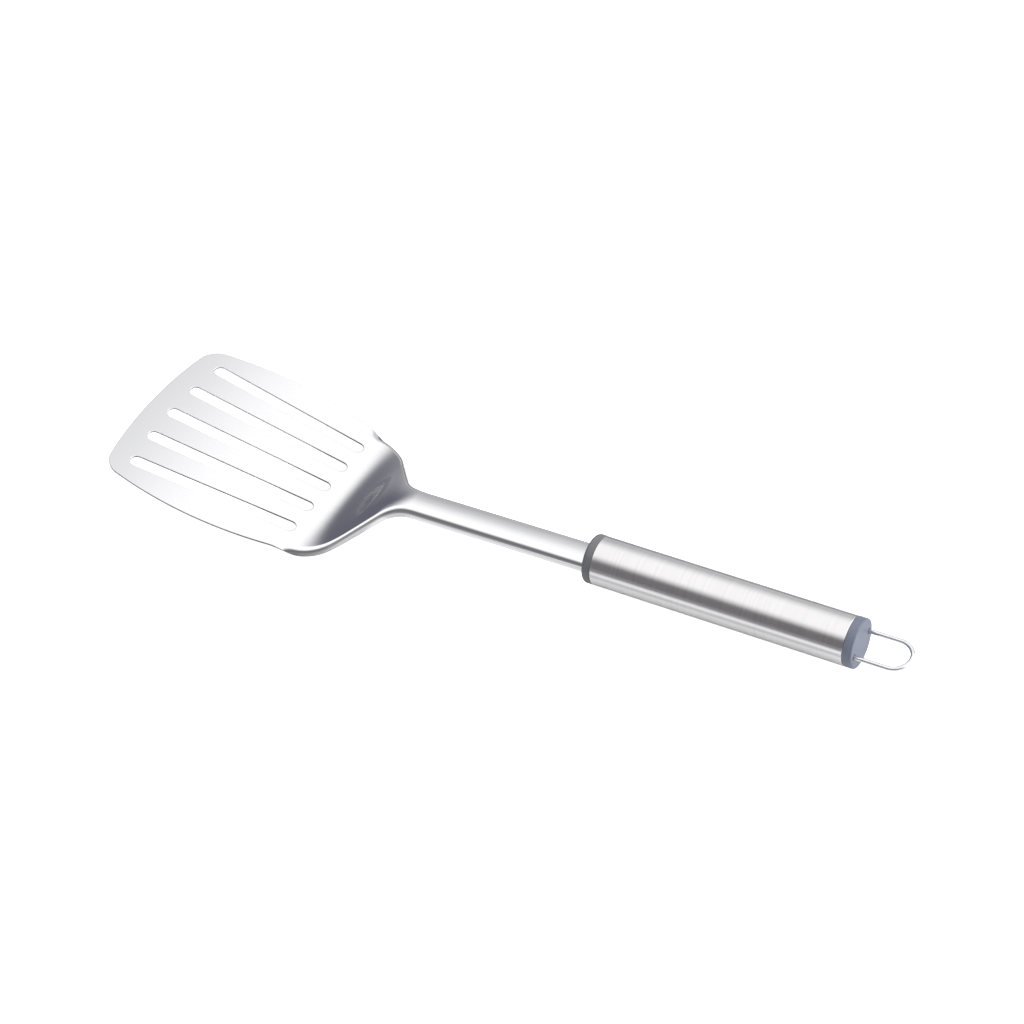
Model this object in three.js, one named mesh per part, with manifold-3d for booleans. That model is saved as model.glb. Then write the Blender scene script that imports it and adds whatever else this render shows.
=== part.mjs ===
// A slotted turner: one pressed steel blade, neck and shank in a round tube handle with a wire loop.
// Millimetres, +Z up, +X from the blade to the loop, +Y across. The turner lies as it rests on a table,
// on the heel of its blade and on the rim of its end cap, with the origin under the middle of its box.

import * as THREE from 'three';
import { mergeVertices } from 'three/addons/utils/BufferGeometryUtils.js';
import Module from 'manifold-3d';

const wasm = await Module();
wasm.setup();

// Fits between pieces
const SEAM = 0.3; // gap at the faces where two pieces meet
const FIT = 0.3; // gap round a spigot, a tang or a wire leg

// Handle tube, whose front end is x = 0 and whose axis is z = 0 while the pieces are made
const TUBE_DIAMETER = 21;
const TUBE_WALL = 0.8;
const TUBE_LENGTH = 111.6;
const TUBE_LIP = 0.3; // rounding of the tube's two rims

// Front ring, the band between the shank and the tube
const RING_BAND = 3.7;
const RING_ROUND = 1.3;
const RING_SPIGOT = 9;

// Moulded core that grips the tang inside the tube
const CORE_LENGTH = 34;

// End cap
const CAP_BAND = 3.8;
const CAP_ROUND = 0.6;
const CAP_SPIGOT = 14;

// Hanging loop
const LOOP_WIRE = 2;
const LOOP_SPREAD = 14.6; // between the centre lines of its legs
const LOOP_REACH = 22; // from the cap's face to the end of the loop
const LOOP_LEG = 12; // length of each leg inside the cap
const LOOP_TURN = THREE.MathUtils.degToRad(6); // how far the loop is turned about the handle

// Pressed sheet
const SHEET = 1;
const BLADE_RISE = THREE.MathUtils.degToRad(11.4); // the blade climbs towards its front edge
const NECK_RISE = THREE.MathUtils.degToRad(27.9); // the neck climbs from the heel to the shank
const HEEL = 119; // from the tube to the crease between blade and neck
const HEEL_BEND = 18; // length of the bend at that crease
const NECK_END = 94.7; // from the tube to the crease between neck and shank
const NECK_BEND = 12.5; // length of the bend at that crease
const SHANK_LEVEL = 1.1; // height of the shank's shoulders over the handle's axis, at the neck
const SHANK_RISE = THREE.MathUtils.degToRad(0.86); // the shank climbs from the neck to the tang's end
const SHANK_WIDTH = 14.4;
const SHANK_CROWN = THREE.MathUtils.degToRad(13); // slope of the shank's rounded back at its shoulders
const CROWN_START = 126; // from the tube to where that rounding begins
const CROWN_END = 98; // from the tube to where it is full
const TANG_REACH = 32; // from the tube's front end to the end of the tang

// Turned-down edge of neck and shank
const FOLD_ANGLE = THREE.MathUtils.degToRad(86);
const FOLD_RADIUS = 2.8;
const FLANGE_ON_SHANK = 2; // straight part of the turned edge, below the fold
const FLANGE_ON_BLADE = 0.95; // the same strip at the blade, where it starts
const FOLD_START = 131.5; // from the tube to where the edge begins to turn down
const FOLD_END = 127; // from the tube to where it stands upright

// Outline of the blade seen from above
const BLADE_TIP = 223.4; // from the tube to the middle of the front edge
const BLADE_WIDTH = 93;
const BLADE_WIDEST = 179; // from the tube to the widest place
const BLADE_BARREL = 178; // radius of the bulging sides
const BLADE_FRONT = 200; // radius of the front edge
const BLADE_CORNER = 6.5; // how far a front corner's rounding runs along each edge
const SHOULDER_START = 129; // from the tube to where the side leaves its arc
const SHOULDER_END = 113.5; // from the tube to where the neck's straight edge begins
const NECK_TAPER = 1.23; // how fast the neck's half width grows towards the blade
const NECK_THROAT = 95; // from the tube to where the neck's edge would cross the shank's
const THROAT_ON_NECK = 4.5; // how far the throat's rounding runs along the neck
const THROAT_ON_SHANK = 9; // and along the shank

// Slots
const SLOT_COUNT = 5;
const SLOT_WIDTH = 5.6;
const SLOT_REAR = 132.7; // from the tube to the slots' rear ends
const SLOT_MARGIN = 9.3; // from the front edge back to the slots' front ends
const SLOT_PITCH_REAR = 13.8;
const SLOT_PITCH_FRONT = 16.6;

// Facets
const ROUND_STEPS = 48;
const WIRE_SIDES = 10;
const LOOP_STEPS = 48;
const CURVE_STEPS = 6;
const FLAT_STEPS = 3;
const FOLD_STEPS = 4;

const tubeRadius = TUBE_DIAMETER / 2;
const boreRadius = tubeRadius - TUBE_WALL;
const spigotRadius = boreRadius - FIT;
const tubeRear = TUBE_LENGTH;
const capFace = tubeRear + SEAM + CAP_BAND;
const ringFront = -SEAM - RING_BAND;

const steel = { color: 0xd9dadc, roughness: 0.16, metalness: 1 };
const brushedSteel = { color: 0xc4c3c6, roughness: 0.36, metalness: 1 };
const darkPlastic = { color: 0x5b5f68, roughness: 0.55, metalness: 0 };
const bluePlastic = { color: 0x767d8f, roughness: 0.5, metalness: 0 };
const corePlastic = { color: 0x8a8a86, roughness: 0.7, metalness: 0 };

// Solids

function toSolid(geometry) {
  const bare = geometry.clone();
  bare.deleteAttribute('normal');
  bare.deleteAttribute('uv');
  const merged = mergeVertices(bare, 1e-5);
  return new wasm.Manifold(new wasm.Mesh({
    numProp: 3,
    vertProperties: Float32Array.from(merged.attributes.position.array),
    triVerts: Uint32Array.from(merged.index.array),
  }));
}

function toGeometry(solid) {
  const mesh = solid.getMesh();
  const geometry = new THREE.BufferGeometry();
  geometry.setAttribute('position', new THREE.BufferAttribute(mesh.vertProperties, 3));
  geometry.setIndex(new THREE.BufferAttribute(mesh.triVerts, 1));
  geometry.computeVertexNormals();
  return geometry;
}

function piece(name, geometry, look) {
  const mesh = new THREE.Mesh(geometry, new THREE.MeshStandardMaterial(look));
  mesh.name = name;
  return mesh;
}

// A solid of revolution about the handle's axis, from [x, radius] corners in order
function turned(corners) {
  const profile = corners.map(([x, radius]) => new THREE.Vector2(radius, x));
  const geometry = new THREE.LatheGeometry(profile, ROUND_STEPS);
  return geometry.rotateZ(-Math.PI / 2);
}

// A quarter round between two straight edges of a turned profile, bulging towards the corner [x, radius]
function quarterRound(from, corner, to) {
  const bow = new THREE.QuadraticBezierCurve(
    new THREE.Vector2(...from), new THREE.Vector2(...corner), new THREE.Vector2(...to));
  return bow.getPoints(CURVE_STEPS).map((point) => [point.x, point.y]);
}

// An upright prism of a plan outline, from one height to another
function upright(outline, low, high) {
  const geometry = new THREE.ExtrudeGeometry(outline, {
    depth: high - low, bevelEnabled: false, curveSegments: CURVE_STEPS * 2,
  });
  return toSolid(geometry.translate(0, 0, low));
}

// Pressed sheet: heights along its length, half widths along its outline, sections across

// Zero past a crease and a slope of one before it, with a bend of the given length between the two
function bentRamp(distance, bend) {
  if (distance <= -bend / 2) return distance;
  if (distance >= bend / 2) return 0;
  return -((distance - bend / 2) ** 2) / (2 * bend);
}

// Height of the sheet's shoulders over the handle's axis
function sheetLevel(x) {
  const climb = Math.tan(NECK_RISE);
  const slope = Math.tan(SHANK_RISE);
  const shank = SHANK_LEVEL + slope * (x + NECK_END);
  const neck = (climb - slope) * bentRamp(x + NECK_END, NECK_BEND);
  return shank + neck - (climb + Math.tan(BLADE_RISE)) * bentRamp(x + HEEL, HEEL_BEND);
}

// How far the sheet's edge has turned down, from 0 on the blade to 1 on the shank
const foldShare = (x) => THREE.MathUtils.smoothstep(x, -FOLD_START, -FOLD_END);

// How far its back has grown round and its edge deep, from 0 on the flat blade to 1 on the shank
const crownShare = (x) => THREE.MathUtils.smoothstep(x, -CROWN_START, -CROWN_END);

const barrelDepth = (x) => BLADE_BARREL - Math.sqrt(BLADE_BARREL ** 2 - (x + BLADE_WIDEST) ** 2);
const bladeHalf = (x) => BLADE_WIDTH / 2 - barrelDepth(x);
const bladeSlope = (x) => -(x + BLADE_WIDEST) / (BLADE_BARREL - barrelDepth(x));
const neckHalf = (x) => SHANK_WIDTH / 2 - NECK_TAPER * (x + NECK_THROAT);
const frontEdge = (y) => -BLADE_TIP + BLADE_FRONT - Math.sqrt(BLADE_FRONT ** 2 - y ** 2);

// One edge of the pressing seen from above, as points (x, half width) from past the tip to the tang's end
function sideOutline() {
  const shoulder = -SHOULDER_START;
  const straight = -SHOULDER_END;
  const cornerX = straight + (bladeHalf(shoulder) + bladeSlope(shoulder) * (straight - shoulder)
    - neckHalf(straight)) / (-NECK_TAPER - bladeSlope(shoulder));
  const shankHalf = SHANK_WIDTH / 2;
  const outline = new THREE.Path();
  outline.moveTo(shoulder, bladeHalf(shoulder));
  outline.quadraticCurveTo(cornerX, neckHalf(cornerX), straight, neckHalf(straight));
  const throat = -NECK_THROAT - THROAT_ON_NECK;
  for (const share of [1 / 3, 2 / 3, 1]) {
    const x = THREE.MathUtils.lerp(straight, throat, share);
    outline.lineTo(x, neckHalf(x));
  }
  outline.quadraticCurveTo(-NECK_THROAT, shankHalf, -NECK_THROAT + THROAT_ON_SHANK, shankHalf);
  outline.lineTo(TANG_REACH, shankHalf);
  const pastTip = -BLADE_TIP - SHEET;
  const sideCount = CURVE_STEPS * 2;
  const side = Array.from({ length: sideCount }, (_, step) => {
    const x = THREE.MathUtils.lerp(pastTip, shoulder, step / sideCount);
    return new THREE.Vector2(x, bladeHalf(x));
  });
  side.push(new THREE.Vector2(-FOLD_START, bladeHalf(-FOLD_START)));
  return [...side, ...outline.getPoints(CURVE_STEPS)];
}

// Mean of cos over an even run of angles
function meanCosine(from, to) {
  return from === to ? Math.cos(from) : (Math.sin(to) - Math.sin(from)) / (to - from);
}

// Half a section across the sheet, from its middle to the tip of the turned edge: the strip is laid out
// by its own length, so that the same points lie flat in the blade and stand up in the shank
function halfSection(x, half, extra) {
  const share = foldShare(x);
  const growth = crownShare(x);
  const crown = SHANK_CROWN * growth;
  const fold = Math.max(FOLD_ANGLE * share, crown);
  const bend = FOLD_RADIUS * FOLD_ANGLE;
  const flange = THREE.MathUtils.lerp(FLANGE_ON_BLADE, FLANGE_ON_SHANK, growth);
  const flat = (half - bend * meanCosine(crown, fold) - flange * Math.cos(fold)) / meanCosine(0, crown);
  const strips = [
    { length: flat, from: 0, to: crown, steps: FLAT_STEPS },
    { length: bend, from: crown, to: fold, steps: FOLD_STEPS },
    { length: flange + extra, from: fold, to: fold, steps: 1 },
  ];
  const points = [{ y: 0, z: 0, angle: 0 }];
  for (const { length, from, to, steps } of strips) {
    for (let step = 1; step <= steps; step += 1) {
      const last = points.at(-1);
      const middle = THREE.MathUtils.lerp(from, to, (step - 0.5) / steps);
      points.push({
        y: last.y + length / steps * Math.cos(middle),
        z: last.z - length / steps * Math.sin(middle),
        angle: THREE.MathUtils.lerp(from, to, step / steps),
      });
    }
  }
  const lift = sheetLevel(x) - points[FLAT_STEPS].z;
  return points.map((point) => ({ ...point, z: point.z + lift }));
}

// The whole closed section at x, its faces moved out by grow on every side
function section(x, half, grow) {
  const right = halfSection(x, half, grow);
  const left = right.slice(1).reverse().map(({ y, z, angle }) => ({ y: -y, z, angle: -angle }));
  const across = [...left, ...right];
  const face = (out) => across.map(({ y, z, angle }) => (
    new THREE.Vector3(x, y + out * Math.sin(angle), z + out * Math.cos(angle))));
  return [...face(grow), ...face(-SHEET - grow).reverse()];
}

// A closed loft of the sheet through stations (x, half width)
function loftedSheet(stations, grow = 0) {
  const sections = stations.map(({ x, y }) => section(x, y, grow));
  const count = sections[0].length;
  const index = [];
  const quad = (a, b, c, d) => index.push(a, b, c, a, c, d);
  for (let row = 0; row < sections.length - 1; row += 1) {
    for (let column = 0; column < count; column += 1) {
      const next = (column + 1) % count;
      quad(row * count + column, (row + 1) * count + column, (row + 1) * count + next, row * count + next);
    }
  }
  const end = (sections.length - 1) * count;
  for (let column = 0; column < count / 2 - 1; column += 1) {
    const under = count - 1 - column;
    quad(column, column + 1, under - 1, under);
    quad(end + column, end + under, end + under - 1, end + column + 1);
  }
  const geometry = new THREE.BufferGeometry();
  geometry.setFromPoints(sections.flat());
  geometry.setIndex(index);
  return toSolid(geometry);
}

// What lies outside the blade's front edge and its two rounded corners
function frontTrim() {
  const side = -BLADE_TIP + BLADE_CORNER + BLADE_FRONT
    - Math.sqrt(BLADE_FRONT ** 2 - (BLADE_WIDTH / 2) ** 2);
  const cornerY = bladeHalf(side - BLADE_CORNER);
  const frontY = cornerY - BLADE_CORNER;
  const far = BLADE_WIDTH;
  const spread = Math.asin(frontY / BLADE_FRONT);
  const trim = new THREE.Shape();
  trim.moveTo(side, far);
  trim.lineTo(-BLADE_TIP - BLADE_CORNER, far);
  trim.lineTo(-BLADE_TIP - BLADE_CORNER, -far);
  trim.lineTo(side, -far);
  trim.lineTo(side, -bladeHalf(side));
  trim.quadraticCurveTo(frontEdge(cornerY), -cornerY, frontEdge(frontY), -frontY);
  trim.absarc(BLADE_FRONT - BLADE_TIP, 0, BLADE_FRONT, Math.PI + spread, Math.PI - spread, true);
  trim.quadraticCurveTo(frontEdge(cornerY), cornerY, side, bladeHalf(side));
  return trim;
}

// A slot with round ends, numbered from the middle, fanning out to the front
function slotOutline(number) {
  const rear = new THREE.Vector2(-SLOT_REAR, number * SLOT_PITCH_REAR);
  const frontY = number * SLOT_PITCH_FRONT;
  const front = new THREE.Vector2(frontEdge(frontY) + SLOT_MARGIN, frontY);
  const radius = SLOT_WIDTH / 2;
  const along = front.clone().sub(rear).normalize();
  const heading = along.angle();
  const rearCentre = rear.addScaledVector(along, radius);
  const frontCentre = front.addScaledVector(along, -radius);
  const quarter = Math.PI / 2;
  const slot = new THREE.Shape();
  slot.absarc(frontCentre.x, frontCentre.y, radius, heading - quarter, heading + quarter, false);
  slot.absarc(rearCentre.x, rearCentre.y, radius, heading + quarter, heading + 3 * quarter, false);
  return slot;
}

function pressedBlade() {
  const clear = BLADE_TIP;
  let sheet = loftedSheet(sideOutline());
  sheet = sheet.subtract(upright(frontTrim(), -clear, clear));
  const middle = (SLOT_COUNT - 1) / 2;
  for (let slot = 0; slot < SLOT_COUNT; slot += 1) {
    sheet = sheet.subtract(upright(slotOutline(slot - middle), -clear, clear));
  }
  return toGeometry(sheet);
}

// Handle

// The channel that the tang passes through, with its clearance
function tangChannel() {
  const half = SHANK_WIDTH / 2;
  const start = new THREE.Vector2(ringFront - RING_BAND, half);
  const end = new THREE.Vector2(TANG_REACH + SEAM, half);
  return loftedSheet([start, end], FIT);
}

function handleTube() {
  const rim = (x, inward) => [
    [x + inward * TUBE_LIP, boreRadius],
    [x, boreRadius + TUBE_LIP],
    [x, tubeRadius - TUBE_LIP],
    [x + inward * TUBE_LIP, tubeRadius],
  ];
  const corners = [...rim(0, 1), ...rim(tubeRear, -1).reverse()];
  return turned([...corners, corners[0]]);
}

function frontRing() {
  const round = quarterRound(
    [ringFront, tubeRadius - RING_ROUND], [ringFront, tubeRadius], [ringFront + RING_ROUND, tubeRadius]);
  const body = turned([
    [ringFront, 0], ...round, [-SEAM, tubeRadius], [-SEAM, spigotRadius], [RING_SPIGOT, spigotRadius],
    [RING_SPIGOT, 0],
  ]);
  return toGeometry(toSolid(body).subtract(tangChannel()));
}

function tangCore() {
  const start = RING_SPIGOT + SEAM;
  const body = turned([
    [start, 0], [start, spigotRadius], [start + CORE_LENGTH, spigotRadius], [start + CORE_LENGTH, 0],
  ]);
  return toGeometry(toSolid(body).subtract(tangChannel()));
}

function endCap() {
  const shoulder = tubeRear + SEAM;
  const inner = shoulder - CAP_SPIGOT;
  const round = quarterRound(
    [capFace - CAP_ROUND, tubeRadius], [capFace, tubeRadius], [capFace, tubeRadius - CAP_ROUND]);
  let body = toSolid(turned([
    [inner, 0], [inner, spigotRadius], [shoulder, spigotRadius], [shoulder, tubeRadius], ...round,
    [capFace, 0],
  ]));
  const depth = LOOP_LEG + SEAM;
  for (const side of [-1, 1]) {
    const bore = new THREE.CylinderGeometry(
      LOOP_WIRE / 2 + FIT, LOOP_WIRE / 2 + FIT, depth * 2, WIRE_SIDES * 2);
    bore.rotateZ(Math.PI / 2).translate(capFace, side * LOOP_SPREAD / 2, 0);
    body = body.subtract(toSolid(bore));
  }
  return toGeometry(body);
}

// The loop's centre line: a leg out of the cap, a half circle and a leg back in
class Hairpin extends THREE.Curve {
  getPoint(t, target = new THREE.Vector3()) {
    const radius = LOOP_SPREAD / 2;
    const leg = LOOP_LEG + LOOP_REACH - LOOP_WIRE / 2 - radius;
    const run = t * (2 * leg + Math.PI * radius);
    const start = capFace - LOOP_LEG;
    if (run <= leg) return target.set(start + run, -radius, 0);
    const angle = (run - leg) / radius - Math.PI / 2;
    if (angle >= Math.PI / 2) return target.set(start + leg - (angle - Math.PI / 2) * radius, radius, 0);
    return target.set(start + leg + radius * Math.cos(angle), radius * Math.sin(angle), 0);
  }
}

function hangingLoop() {
  const wire = new THREE.Shape().absarc(0, 0, LOOP_WIRE / 2, 0, Math.PI * 2, false);
  return new THREE.ExtrudeGeometry(wire, {
    extrudePath: new Hairpin(), steps: LOOP_STEPS, curveSegments: WIRE_SIDES / 2,
  });
}

// The whole turner, lying on the heel of its blade and the rim of its end cap

const blade = piece('turner_blade', pressedBlade(), steel);
const rear = new THREE.Group();
rear.add(piece('end_cap', endCap(), bluePlastic), piece('hanging_loop', hangingLoop(), steel));
rear.rotation.x = LOOP_TURN;

const lying = new THREE.Group();
lying.add(
  blade,
  piece('front_ring', frontRing(), darkPlastic),
  piece('tang_core', tangCore(), corePlastic),
  piece('handle_tube', handleTube(), brushedSteel),
  rear,
);

// The pitch at which a straight edge under the cap's rim just touches the pressing
function restPitch(geometry) {
  const rim = new THREE.Vector2(capFace - CAP_ROUND, -tubeRadius);
  const at = geometry.attributes.position;
  const pitches = Array.from({ length: at.count }, (_, i) => (
    Math.atan2(rim.y - at.getZ(i), rim.x - at.getX(i))));
  return pitches.reduce((most, pitch) => Math.max(most, pitch), -Math.PI);
}

lying.rotation.y = restPitch(blade.geometry);
const box = new THREE.Box3().setFromObject(lying, true);
lying.position.set(-(box.min.x + box.max.x) / 2, 0, -box.min.z);

const turner = new THREE.Group();
turner.add(lying);

export default turner;
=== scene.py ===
"""A slotted kitchen turner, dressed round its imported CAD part.

Metres, in the part's own frame: +X runs from the blade to the hanging loop, +Y across and +Z up,
and the turner lies on the table at z = 0. Each piece is made in the handle's own frame, where x = 0
is the tube's front end and the tube's axis is z = 0, and is then laid down as the CAD part lies.
"""

import logging
import math
from dataclasses import dataclass
from enum import Enum
from typing import ClassVar

import bmesh
import bpy
from mathutils import Matrix, Vector


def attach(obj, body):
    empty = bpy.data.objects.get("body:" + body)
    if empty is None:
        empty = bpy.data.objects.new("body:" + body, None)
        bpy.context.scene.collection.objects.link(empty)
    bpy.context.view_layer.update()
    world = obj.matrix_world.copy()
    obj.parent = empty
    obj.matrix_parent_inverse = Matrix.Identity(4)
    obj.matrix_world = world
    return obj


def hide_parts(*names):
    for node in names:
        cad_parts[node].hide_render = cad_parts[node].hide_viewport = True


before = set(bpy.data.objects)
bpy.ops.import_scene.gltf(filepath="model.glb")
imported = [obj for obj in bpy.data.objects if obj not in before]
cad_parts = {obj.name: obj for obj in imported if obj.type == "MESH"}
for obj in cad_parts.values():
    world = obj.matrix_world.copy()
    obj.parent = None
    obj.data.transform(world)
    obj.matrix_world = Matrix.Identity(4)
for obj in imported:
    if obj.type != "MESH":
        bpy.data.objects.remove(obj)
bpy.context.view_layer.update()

MERGE_DISTANCE = 1e-7
NEARLY_ZERO = 1e-9
CROSSING_ROUNDS = 40
ORIGIN = Vector((0.0, 0.0, 0.0))
HANDLE_AXIS = Vector((1.0, 0.0, 0.0))
ACROSS = Vector((0.0, 1.0, 0.0))
UP = Vector((0.0, 0.0, 1.0))

HANDLE_RADIUS = 0.0105
SPIGOT_RADIUS = 0.0094
SPIGOT_ROUNDING = 0.0004
SEAM_ROUNDING = 0.0002
TURNING_STEPS = 160
ROUNDING_STEPS = 6
SHADING_ANGLE = math.radians(40.0)

Colour = tuple[float, float, float]
Place = tuple[float, float, float]
Mesh = bmesh.types.BMesh
Point = bmesh.types.BMVert
Edge = bmesh.types.BMEdge
Socket = bpy.types.NodeSocket
Material = bpy.types.Material

log = logging.getLogger("turner")


class Part(Enum):
    """The CAD nodes that the scene dresses."""

    BLADE = "turner_blade"
    RING = "front_ring"
    CORE = "tang_core"
    TUBE = "handle_tube"
    CAP = "end_cap"
    LOOP = "hanging_loop"


class Slot(Enum):
    """The turner's material slots."""

    BLADE = "polished_steel"
    RING = "ring_plastic"
    TUBE = "brushed_tube"
    CAP = "cap_plastic"
    LOOP = "loop_wire"


class Grain(Enum):
    """Which way the fine lines of a steel finish run, as how often they change along X, Y and Z."""

    LENGTHWISE = (45.0, 2400.0, 2400.0)
    ROUND_THE_TUBE = (1500.0, 26.0, 26.0)
    EVEN = (900.0, 900.0, 900.0)


@dataclass(frozen=True)
class Lie:
    """How the turner rests on the table: on the heel of its blade and the rim of its end cap."""

    pitch: float = math.radians(0.878)
    shift: Place = (0.042804, 0.0, 0.012262)

    def matrix(self) -> Matrix:
        """Return the matrix from the handle's frame to the part's frame."""
        return Matrix.Translation(self.shift) @ Matrix.Rotation(self.pitch, 4, "Y")


@dataclass(frozen=True)
class Corner:
    """One corner of a turned profile: its place along the axis, its radius and its rounding."""

    x: float
    radius: float
    rounding: float = 0.0


# Shader nodes


class NodeSheet:
    """Adds nodes to one shader tree and links them."""

    def __init__(self, tree: bpy.types.NodeTree) -> None:
        """Take the tree of a material, a world or a group and clear it."""
        self.tree = tree
        self.tree.nodes.clear()

    def add(self, kind: str, values: dict | None = None, **settings: object) -> bpy.types.Node:
        """Add a node.

        Args:
            kind: the node's type name.
            values: plain values for its input sockets, by name or number.
            settings: the node's own properties.

        Returns:
            The new node.
        """
        node = self.tree.nodes.new(kind)
        for name, value in settings.items():
            setattr(node, name, value)
        for socket, value in (values or {}).items():
            node.inputs[socket].default_value = value
        return node

    def link(self, source: Socket, target: Socket) -> None:
        """Link an output socket to an input socket."""
        self.tree.links.new(source, target)

    def span(self, source: Socket, start: float, end: float,
             low: float, high: float, smooth: bool = False) -> Socket:
        """Map a value from one range to another, held at the ends.

        Args:
            source: the value.
            start: the value that gives low.
            end: the value that gives high.
            low: the result at start.
            high: the result at end.
            smooth: ease in and out of the ends.

        Returns:
            The mapped value's socket.
        """
        kind = "SMOOTHSTEP" if smooth else "LINEAR"
        node = self.add("ShaderNodeMapRange", interpolation_type=kind, clamp=True)
        for socket, value in zip(("From Min", "From Max", "To Min", "To Max"), (start, end, low, high)):
            node.inputs[socket].default_value = value
        self.link(source, node.inputs["Value"])
        return node.outputs["Result"]

    def maths(self, operation: str, *values: Socket | float) -> Socket:
        """Work out a Math node.

        Args:
            operation: the node's operation.
            values: its inputs in order, sockets or numbers.

        Returns:
            The result's socket.
        """
        node = self.add("ShaderNodeMath", operation=operation)
        for socket, value in zip(node.inputs, values):
            if isinstance(value, float):
                socket.default_value = value
            else:
                self.link(value, socket)
        return node.outputs["Value"]

    def band(self, source: Socket, edges: tuple[float, ...], height: float = 1.0) -> Socket:
        """Rise softly from 0 to a height and fall softly back to 0.

        Args:
            source: the value that the band lies on.
            edges: where the rise starts and ends, and where the fall starts and ends.
            height: the band's height.

        Returns:
            The band's socket.
        """
        rise = self.span(source, *edges[:2], 0.0, height, smooth=True)
        fall = self.span(source, *edges[2:], 1.0, 0.0, smooth=True)
        return self.maths("MULTIPLY", rise, fall)

    def parts(self, vector: Socket) -> bpy.types.NodeOutputs:
        """Split a vector and return its outputs X, Y and Z."""
        node = self.add("ShaderNodeSeparateXYZ")
        self.link(vector, node.inputs["Vector"])
        return node.outputs

    def show(self, shader: Socket, kind: str = "ShaderNodeOutputMaterial") -> None:
        """Link a shader to the tree's output node."""
        self.link(shader, self.add(kind).inputs["Surface"])

    def blend(self, share: Socket, first: Socket | tuple[float, ...],
              second: tuple[float, ...]) -> Socket:
        """Mix two colours.

        Args:
            share: how much of the second colour shows, from 0 to 1.
            first: the colour at 0, plain or a socket.
            second: the colour at 1.

        Returns:
            The mixed colour's socket.
        """
        node = self.add("ShaderNodeMix", data_type="RGBA")
        start, end = (socket for socket in node.inputs if socket.type == "RGBA")
        if isinstance(first, Socket):
            self.link(first, start)
        else:
            start.default_value = (*first, 1.0)
        end.default_value = (*second, 1.0)
        self.link(share, node.inputs["Factor"])
        return next(socket for socket in node.outputs if socket.type == "RGBA")


class Effect:
    """A shader node group that several finishes share, built once."""

    def __init__(self, name: str, inputs: dict[str, str], outputs: tuple[str, ...]) -> None:
        """Start the group with its sockets.

        Args:
            name: the group's name.
            inputs: the socket type of each named input.
            outputs: the names of the value outputs.
        """
        self.tree = bpy.data.node_groups.new(name, "ShaderNodeTree")
        self.sheet = NodeSheet(self.tree)
        for socket, kind in inputs.items():
            self.tree.interface.new_socket(socket, in_out="INPUT", socket_type=kind)
        for socket in outputs:
            self.tree.interface.new_socket(socket, in_out="OUTPUT", socket_type="NodeSocketFloat")
        self.given = self.sheet.add("NodeGroupInput").outputs
        self.result = self.sheet.add("NodeGroupOutput").inputs

    def place(self, sheet: NodeSheet, where: Socket, values: dict) -> bpy.types.Node:
        """Put the group into a material.

        Args:
            sheet: the material's nodes.
            where: the coordinates that the effect follows.
            values: this material's own values.

        Returns:
            The group node.
        """
        node = sheet.add("ShaderNodeGroup", node_tree=self.tree)
        sheet.link(where, node.inputs["Vector"])
        for socket, value in values.items():
            node.inputs[socket].default_value = value
        return node


def brush_lines() -> Effect:
    """Build the fine lines of ground or drawn steel.

    Returns:
        An effect with the output Lines, from 0 to 1.
    """
    effect = Effect("brush_lines", {"Vector": "NodeSocketVector", "Stretch": "NodeSocketVector"}, ("Lines",))
    sheet = effect.sheet
    drawn = sheet.add("ShaderNodeVectorMath", operation="MULTIPLY")
    sheet.link(effect.given["Vector"], drawn.inputs[0])
    sheet.link(effect.given["Stretch"], drawn.inputs[1])
    fine = sheet.add("ShaderNodeTexNoise", {"Scale": 2.3, "Detail": 3.0, "Roughness": 0.6})
    coarse = sheet.add("ShaderNodeTexNoise", {"Scale": 0.6, "Detail": 2.0, "Roughness": 0.5})
    for noise in (fine, coarse):
        sheet.link(drawn.outputs["Vector"], noise.inputs["Vector"])
    both = sheet.maths("ADD", fine.outputs["Fac"], coarse.outputs["Fac"])
    sheet.link(sheet.span(both, 0.7, 1.3, 0.0, 1.0), effect.result["Lines"])
    return effect


def handling_haze() -> Effect:
    """Build the soft, uneven haze that handling and washing leave.

    Returns:
        An effect with the output Haze, from 0 to 1.
    """
    effect = Effect("handling_haze", {"Vector": "NodeSocketVector", "Scale": "NodeSocketFloat"}, ("Haze",))
    sheet = effect.sheet
    cloud = sheet.add("ShaderNodeTexNoise", {"Detail": 4.0, "Roughness": 0.55, "Distortion": 0.4})
    sheet.link(effect.given["Vector"], cloud.inputs["Vector"])
    sheet.link(effect.given["Scale"], cloud.inputs["Scale"])
    sheet.link(sheet.span(cloud.outputs["Fac"], 0.36, 0.68, 0.0, 1.0, smooth=True), effect.result["Haze"])
    return effect


def moulded_grain() -> Effect:
    """Build the fine spark-eroded grain of a moulded plastic face.

    Returns:
        An effect with the outputs Height and Tone, each from 0 to 1.
    """
    effect = Effect("moulded_grain", {"Vector": "NodeSocketVector", "Scale": "NodeSocketFloat"},
                    ("Height", "Tone"))
    sheet = effect.sheet
    pits = sheet.add("ShaderNodeTexVoronoi", {"Randomness": 1.0}, feature="SMOOTH_F1")
    speck = sheet.add("ShaderNodeTexNoise", {"Detail": 3.0, "Roughness": 0.65})
    for texture in (pits, speck):
        sheet.link(effect.given["Vector"], texture.inputs["Vector"])
        sheet.link(effect.given["Scale"], texture.inputs["Scale"])
    sheet.link(sheet.span(pits.outputs["Distance"], 0.1, 0.8, 0.0, 1.0), effect.result["Height"])
    sheet.link(sheet.span(speck.outputs["Fac"], 0.32, 0.68, 0.0, 1.0), effect.result["Tone"])
    return effect


@dataclass(frozen=True)
class Effects:
    """The shared effects, built once for all the finishes."""

    lines: Effect
    haze: Effect
    grain: Effect


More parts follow.
